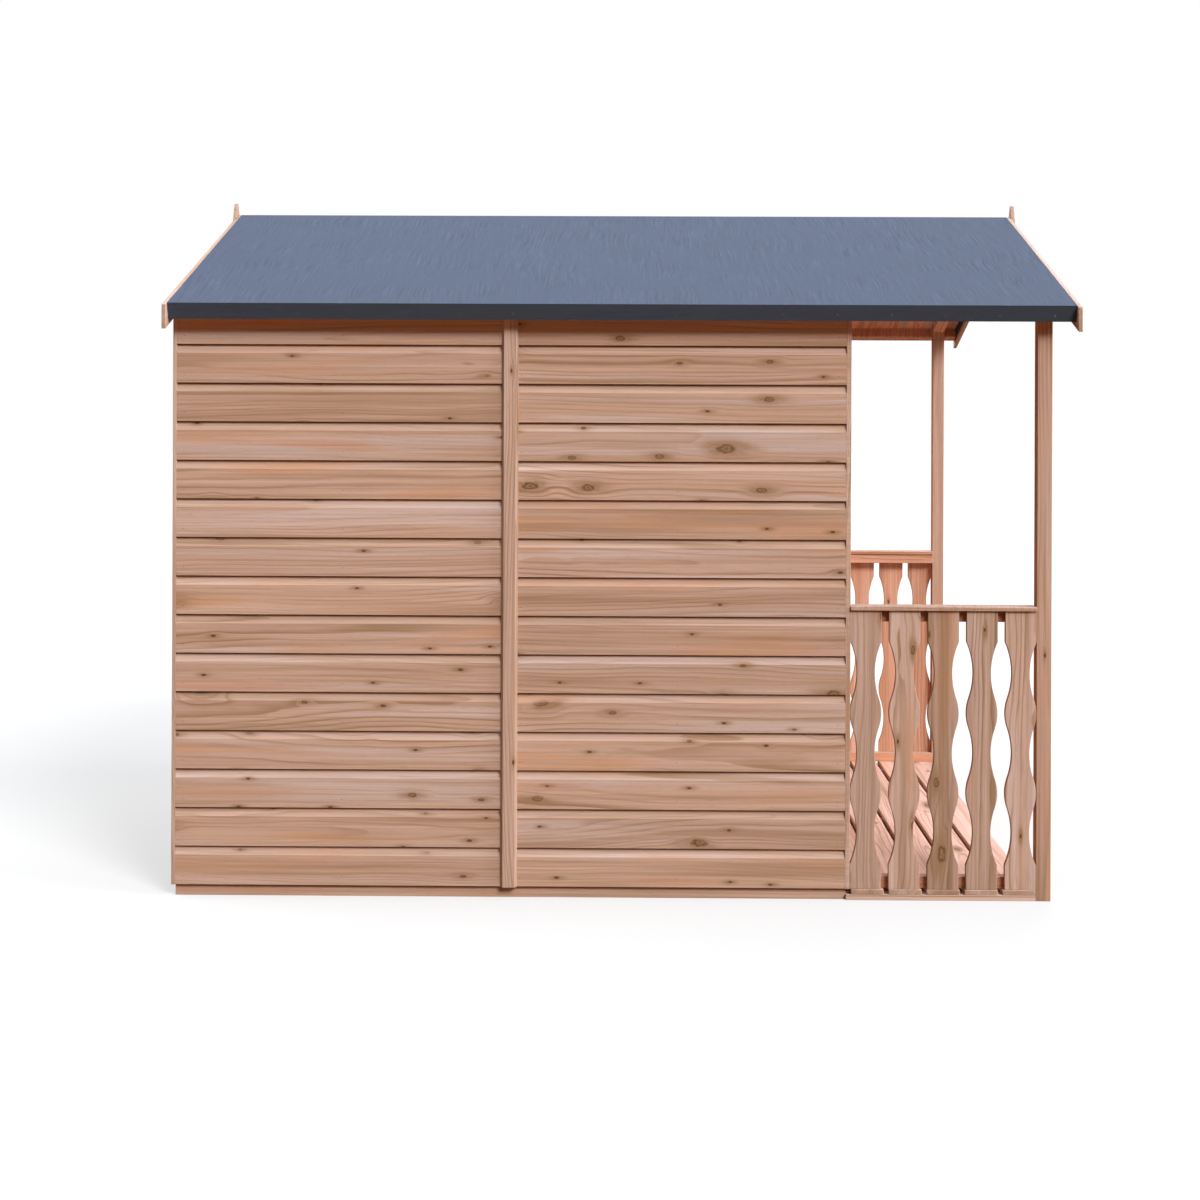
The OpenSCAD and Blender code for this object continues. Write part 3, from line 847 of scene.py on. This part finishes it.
# Doors: matched boards, framed on the face and ledged behind
door = {
    "low": 0.035, "high": 1.669,
    "inside": 0.0015, "outside": 0.527,  # from the middle of the doorway
    "boardBack": 0.641, "boardFace": 0.653, "frameFace": 0.664, "ledgeBack": 0.630,
    "frameWidth": 0.070,
    "boards": 6,
    "joint": 0.0002,    # half of the gap between two boards
    "railGap": 0.0003,  # how far a rail stays off the stiles
    "groove": 0.0028,
    "boardArris": 0.0005, "frameArris": 0.0018,
}


def matchBoard(board):
    # Cuts back the long arrises, so that two boards side by side leave a V
    rounded(board, longEdges(board, zAxis, 0.5), door["groove"], 1)
    return finishPlank(board, zAxis, yAxis, door["boardArris"], 1)


def doorParts(side):
    width, inside, outside = door["frameWidth"], door["inside"], door["outside"]
    foot, top, arris = door["low"], door["high"], door["frameArris"]
    middle = (foot + top) / 2

    def member(back, front, start, end, low, high):
        # Start and end are how far out it lies from the middle of the doorway
        start, end = sorted((side * start, side * end))
        return block((door[back], start, low), (door[front], end, high))

    parts = []
    for start, end in laidOut(inside, outside, door["boards"], door["joint"]):
        parts.append(matchBoard(member("boardBack", "boardFace", start, end, foot, top)))
        paintWith(1, parts[-1].faces)
    for start in (inside, outside - width):
        stile = member("boardFace", "frameFace", start, start + width, foot, top)
        parts.append(finishPlank(stile, zAxis, yAxis, arris))
    start, end = inside + width + door["railGap"], outside - width - door["railGap"]
    for z in (foot, middle - width / 2, top - width):
        rail = member("boardFace", "frameFace", start, end, z, z + width)
        parts.append(finishPlank(rail, yAxis, zAxis, arris))
    for z in (foot + width, middle - width / 2, top - 2 * width):
        ledge = member("ledgeBack", "boardBack", inside + width / 2, outside - width / 2, z, z + width)
        parts.append(finishPlank(ledge, yAxis, zAxis, arris))
    return parts


for side, label in bothSides:
    addPiece(f"{label}Door", doorParts(side), [trimTimber, doorTimber], [f"{label}_door"])
print("doors ready")

# Fastenings and ironmongery

fastening = {
    "pin": 0.0013, "screw": 0.0036, "clout": 0.0042, "turnScrew": 0.0042,  # radius of a head
    "sides": 8,
    "dome": 0.86,     # radius of its top, as a share
    "rim": 0.4,       # width of the rim round its dished middle, as a share of its radius
    "dish": 0.6,      # depth of the dish, as a share of how far it stands proud
    "stand": 0.0004,  # how far it stands proud
    "root": 0.0006,   # how far its back goes in
}


def roundSides(bm):
    for face in bm.faces:
        face.smooth = abs(face.normal.z) < 0.9


def turnTo(bm, place, way):
    # Takes what stands up at the origin to a place, leaning it the way given
    bm.transform(Matrix.Translation(place) @ Vector(way).to_track_quat("Z", "Y").to_matrix().to_4x4())


def cylinder(radius, length, segments=16, top=1.0):
    # Top is the radius of its upper end, as a share
    bm = bmesh.new()
    bmesh.ops.create_cone(bm, cap_ends=True, cap_tris=False, segments=segments,
                          radius1=radius, radius2=radius * top, depth=length)
    roundSides(bm)
    return bm


def head(kind, place, outward, stand=fastening["stand"]):
    # A low domed head with a dished middle, its back a little way into what it holds
    radius, root = fastening[kind], fastening["root"]
    bm = cylinder(radius, stand + root, fastening["sides"], fastening["dome"])
    wearAndHighlight = bm.faces.layers.float.new("arris")
    bmesh.ops.translate(bm, vec=(0, 0, (stand - root) / 2), verts=bm.verts)
    top = [face for face in bm.faces if face.normal.z > 0.9]
    rim, deep = radius * fastening["rim"], stand * fastening["dish"]
    for face in bmesh.ops.inset_region(bm, faces=top, thickness=rim, depth=-deep)["faces"]:
        face[wearAndHighlight] = 1.0
    roundSides(bm)
    turnTo(bm, place, outward)
    return bm


studs = {  # where the boards are pinned
    "sideFace": 1.012, "rearFace": -1.289, "frontFace": 0.653,  # faces of the cladding
    "side": (-1.267, -0.8045, -0.352, -0.288, 0.1665, 0.631),
    "rear": (-0.955, -0.486, 0, 0.486, 0.955),
    "front": (-0.955, -0.585, 0.585, 0.955),
    "gable": (-0.552, 0, 0.552),
    "aboveFoot": 0.026,
    "wallRows": 15, "rows": 18,
    "offRoof": 0.02,  # room that a pin keeps under the roof
}
pins = []
for row in range(studs["rows"]):
    z = cladding["foot"] + row * cladding["cover"] + studs["aboveFoot"]
    front = studs["gable"]
    if row < studs["wallRows"]:
        front = studs["front"]
        for side in (-1, 1):
            pins += [head("pin", (x, side * studs["sideFace"], z), (0, side, 0)) for x in studs["side"]]
    reach = (ridgeUnder(underBoards) - z - studs["offRoof"]) / slopeTan
    for x, outward, places in ((studs["rearFace"], -1, studs["rear"]), (studs["frontFace"], 1, front)):
        pins += [head("pin", (x, y, z), (outward, 0, 0)) for y in places if abs(y) < reach]
addPiece("claddingPins", pins, [cloutSteel])

screwed = {  # where screws go
    "deckBoards": 5, "deckGap": 0.015,
    "deckShares": (0.22, 0.78),     # across each board
    "deckY": (-0.990, 0.0, 0.990),  # over each bearer
    "handrailX": (0.700, 0.935, 1.172), "handrailY": 0.985,
    "bargeRuns": (0.16, 0.52, 0.88), "bargeUnder": 0.030,
    "finialY": 0.022, "finialUnder": 0.045,
}


def endFace(node, outward):
    # Where a node's face is that looks along +x, or along -x if outward is -1
    low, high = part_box(node)
    return high.x if outward > 0 else low.x


low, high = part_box("veranda_deck_boards")
count, gap = screwed["deckBoards"], screwed["deckGap"]
width = (high.x - low.x - (count - 1) * gap) / count
screws = [head("screw", (low.x + i * (width + gap) + width * share, y, high.z), zAxis)
          for i in range(count) for share in screwed["deckShares"] for y in screwed["deckY"]]
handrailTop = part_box("far_handrail")[1].z
for side in (-1, 1):
    screws += [head("screw", (x, side * screwed["handrailY"], handrailTop), zAxis)
               for x in screwed["handrailX"]]
    for outward, end in bothEnds:
        x = endFace(f"far_{end}_bargeboard", outward)
        for run in screwed["bargeRuns"]:
            y, z = roofPoint(run, screwed["bargeUnder"])
            screws.append(head("screw", (x, side * y, z), (outward, 0, 0)))
        x = endFace(f"{end}_finial", outward) - outward * fastening["stand"]
        place = (x, side * screwed["finialY"], roof["ridgeZ"] - screwed["finialUnder"])
        screws.append(head("screw", place, (outward, 0, 0)))
addPiece("timberScrews", screws, [zincSteel])

# Clouts along the turned-down felt
clouted = {"count": 17, "first": -1.24, "spacing": 0.155, "under": 0.030}
y, z = roofPoint(slopeEnd + roof["felt"], clouted["under"])
clouts = [head("clout", (clouted["first"] + i * clouted["spacing"], side * y, z), downSlope(side))
          for i in range(clouted["count"]) for side in (-1, 1)]
addPiece("feltClouts", clouts, [cloutSteel])

# Black T-hinges: a plate on the casing, a barrel in the gap, and a tapered strap on the door
hinge = {
    "pivot": 0.5285,          # from the middle of the doorway
    "strap": 0.300, "root": 0.036, "tip": 0.020, "thickness": 0.0022,
    "plate": (0.034, 0.086),  # across and high
    "barrel": 0.0042,         # radius
    "barrelOut": 0.0021,      # from the casing's face to its middle
    "knuckleGap": 0.0006,
    "heights": (0.070, 0.852, 1.634),
    "strapScrews": (0.035, 0.110, 0.190, 0.285),
    "plateScrews": (-0.030, 0, 0.030), "plateShare": 0.6,
    "screwStand": 0.001,
}


def ease(bm, size=0.0006):
    # Rounds hard edges and marks them as the places where paint wears
    wearAndHighlight = bm.faces.layers.float.new("arris")
    for face in rounded(bm, sharpEdges(bm, 50), size, 2):
        face[wearAndHighlight] = 1.0
        face.smooth = True
    return bm


def hingeParts(side, z):
    pivot, thickness, stand = hinge["pivot"], hinge["thickness"], hinge["screwStand"]
    doorFace, casingFace = door["frameFace"], endFace("door_casing", 1)
    strap = [(side * pivot, z + end * hinge["root"] / 2) for end in (-1, 1)]
    for degrees in range(60, -61, -30):  # the strap's round tip
        turn, half = math.radians(degrees), hinge["tip"] / 2
        strap.append((side * (pivot - hinge["strap"] - math.cos(turn) * half), z + math.sin(turn) * half))
    parts = [ease(prism("x", strap, doorFace, doorFace + thickness))]
    wide, high = hinge["plate"]
    start, end = sorted((side * pivot, side * (pivot + wide)))
    parts.append(ease(block((casingFace, start, z - high / 2), (casingFace + thickness, end, z + high / 2))))
    for i in range(3):
        knuckle = cylinder(hinge["barrel"], high / 3 - hinge["knuckleGap"])
        place = (casingFace + hinge["barrelOut"], side * pivot, z + (i - 1) * high / 3)
        bmesh.ops.translate(knuckle, vec=place, verts=knuckle.verts)
        parts.append(ease(knuckle))
    for run in hinge["strapScrews"]:
        parts.append(head("screw", (doorFace + thickness, side * (pivot - run), z), xAxis, stand))
    y = side * (pivot + wide * hinge["plateShare"])
    for rise in hinge["plateScrews"]:
        parts.append(head("screw", (casingFace + thickness, y, z + rise), xAxis, stand))
    return parts


for side, label in bothSides:
    parts = [part for z in hinge["heights"] for part in hingeParts(side, z)]
    addPiece(f"{label}DoorHinges", parts, [blackIron])

# A bow handle on one leaf and a turn button across both
latch = {
    "handleY": 0.036, "handleZ": 0.990,
    "bow": [(0, -0.065), (0.014, -0.065), (0.022, -0.061), (0.026, -0.052),  # out and up
            (0.026, 0.052), (0.022, 0.061), (0.014, 0.065), (0, 0.065)],
    "rod": 0.0045, "rose": 0.011,  # radii
    "roseThickness": 0.002,
    "buttonZ": 1.300, "button": (0.078, 0.024, 0.010),  # long, high and thick
    "buttonCorner": 0.42,  # radius of its corners, as a share of its height
    "buttonArris": 0.0015,
    "screwStand": 0.0012,
}


def bentRod(path, radius, segments=12):
    # A round section carried along a path and mitred at corners
    path = [Vector(point) for point in path]
    ways = [(end - start).normalized() for start, end in zip(path, path[1:])]
    bm = bmesh.new()
    bmesh.ops.create_circle(bm, cap_ends=True, segments=segments, radius=radius)
    turnTo(bm, path[0], ways[0])
    end = bm.faces[:]
    for i, way in enumerate(ways):
        slant = (way + ways[min(i + 1, len(ways) - 1)]).normalized()
        carried = bmesh.ops.extrude_face_region(bm, geom=end)["geom"]
        if i:
            bmesh.ops.delete(bm, geom=end, context="FACES_ONLY")
        for vert in only(carried, bmesh.types.BMVert):
            vert.co += way * ((path[i + 1] - vert.co).dot(slant) / way.dot(slant))
        end = only(carried, bmesh.types.BMFace)
    bmesh.ops.recalc_face_normals(bm, faces=bm.faces)
    for face in bm.faces:
        face.smooth = len(face.verts) == 4
    return bm


doorFace = door["frameFace"]
bow = [(doorFace + out, latch["handleY"], latch["handleZ"] + up) for out, up in latch["bow"]]
parts = [bentRod(bow, latch["rod"])]
for end in (-1, 1):
    rose = cylinder(latch["rose"], latch["roseThickness"], 24)
    height = latch["handleZ"] + end * latch["bow"][-1][1]
    place = (doorFace + latch["roseThickness"] / 2, latch["handleY"], height)
    rose.transform(Matrix.Translation(place) @ Matrix.Rotation(math.radians(90), 4, "Y"))
    parts.append(ease(rose))
addPiece("doorHandle", parts, [blackIron])

long, high, thick = latch["button"]
z = latch["buttonZ"]
button = block((doorFace, -long / 2, z - high / 2), (doorFace + thick, long / 2, z + high / 2))
rounded(button, longEdges(button, xAxis, thick / 2), high * latch["buttonCorner"], 5)
addPiece("turnButton", [finishPlank(button, yAxis, zAxis, latch["buttonArris"])], [trimTimber])
turnScrew = head("turnScrew", (doorFace + thick, 0, z), xAxis, latch["screwStand"])
addPiece("turnButtonScrew", [turnScrew], [zincSteel])
print("fastenings, hinges and handle ready")

# The floor
flooring = {"boards": 20, "joint": 0.0003}
low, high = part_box("floor_boards")
boards = [finishPlank(block((low.x, start, low.z), (high.x, end, high.z)), xAxis, yAxis)
          for start, end in laidOut(low.y, high.y, flooring["boards"], flooring["joint"])]
addPiece("floorBoards", boards, [deckTimber], ["floor_boards"])
print("floor boards ready")


# Stage, light and camera

studio = {
    "size": 40,
    "floorBounce": (0.22, 0.100, 0.046, 1),  # how much light the floor throws back up
    "floorShadow": (0.34, 0.34, 0.34, 1),    # how dark its shadows look
    "floorWhite": 0.50,
    # Painted shade: the warm brown that the camera sees on the ground under the building, in place of shade
    # and the wood's warm bounce
    "paintedShadeUnder": (0.50, 0.22, 0.12, 1),
    "footprint": (-0.02, 0, 1.25, 0.99),     # middle and half sizes of the ground under the building, where the painted shade goes
    "surround": (0.92, 0.96, 1.0, 1),
    "surroundStrength": 0.04,
}


def showApart(tree, lighting, shown, output):
    # One shader lights the scene, and the camera, gloss and glass see the other
    rays = tree.nodes.new("ShaderNodeLightPath").outputs
    shiny = sums("MAXIMUM", rays["Is Glossy Ray"], rays["Is Transmission Ray"])
    seen = sums("MAXIMUM", rays["Is Camera Ray"], shiny)
    feed(tree.nodes[output].inputs[0], addNode("MixShader", (seen, lighting, shown))[0])


def plainFloor():
    bm = bmesh.new()
    bmesh.ops.create_grid(bm, x_segments=1, y_segments=1, size=studio["size"])
    material, tree, lit = newFinish("studioFloor", specular=0.0)
    feed(lit["Base Color"], studio["floorBounce"])
    feed(lit["Roughness"], 0.9)
    x, y, _ = split(objectPlace(tree))
    middleX, middleY, halfX, halfY = studio["footprint"]
    beyondX = minus(sums("ABSOLUTE", minus(x, middleX)), halfX)
    beyondY = minus(sums("ABSOLUTE", minus(y, middleY)), halfY)
    # Painted shade: under the building the floor's white is taken out and the warm painted shade shown
    outside = fade(sums("MAXIMUM", beyondX, beyondY), -0.06, 0.01)
    colour = blendColour(outside, studio["paintedShadeUnder"], studio["floorShadow"])
    shadow = addNode("BsdfDiffuse", {"Color": colour})[0]
    white = addNode("Emission", {"Strength": times(outside, studio["floorWhite"])})[0]
    shown = addNode("AddShader", (shadow, white))[0]
    showApart(tree, tree.nodes["Principled BSDF"].outputs[0], shown, "Material Output")
    floor = addMesh("studioFloor", bm, [material])


plainFloor()

world = bpy.data.worlds.new("studio")
scene.world = world
world.use_nodes = True
surround = world.node_tree.nodes["Background"]
feed(surround.inputs["Color"], studio["surround"])
feed(surround.inputs["Strength"], studio["surroundStrength"])
backdrop = world.node_tree.nodes.new("ShaderNodeBackground")
feed(backdrop.inputs["Color"], (1, 1, 1, 1))
showApart(world.node_tree, surround.outputs[0], backdrop.outputs[0], "World Output")

lamps = {
    # toward: where the light comes from; angle: how soft its shadows are
    "keyLight": {"toward": (0.43, -0.67, 0.60), "strength": 2.94, "angle": 21, "colour": (0.99, 0.98, 0.975)},
    "skyLight": {"toward": (0.0, -0.10, 1.0), "strength": 1.57, "angle": 70, "colour": (0.86, 0.94, 1.0)},
    "frontLight": {"toward": (0.91, -0.12, 0.38), "strength": 2.6, "angle": 34, "colour": (0.97, 0.97, 0.98)},
    "rearLight": {"toward": (-0.82, 0.30, 0.48), "strength": 1.6, "angle": 40, "colour": (0.96, 0.98, 1.0)},
    "farLight": {"toward": (0.10, 0.86, 0.50), "strength": 1.5, "angle": 40, "colour": (0.96, 0.98, 1.0)},
}
for name, lamp in lamps.items():
    sun = bpy.data.lights.new(name, "SUN")
    sun.color, sun.energy, sun.angle = lamp["colour"], lamp["strength"], math.radians(lamp["angle"])
    addObject(name, sun).rotation_euler = Vector(lamp["toward"]).to_track_quat("Z", "Y").to_euler()

view = {
    "place": (0.0315, -6.721, 1.4707),
    "yaw": 0.0107, "roll": 0.0040,  # radians, from looking level along +y
    "lens": 59.16, "sensor": 36,    # millimetres
    "shift": (-0.00887, -0.17456),
}
eye = bpy.data.cameras.new("camera")
eye.lens = view["lens"]
eye.sensor_width = view["sensor"]
eye.shift_x, eye.shift_y = view["shift"]
camera = addObject("camera", eye)
level = Matrix.Rotation(view["yaw"], 4, "Z") @ Matrix.Rotation(math.radians(90), 4, "X")
camera.matrix_world = Matrix.Translation(view["place"]) @ level @ Matrix.Rotation(view["roll"], 4, "Z")
scene.camera = camera
scene.view_settings.view_transform = "Standard"

print("floor, lamps and camera ready")
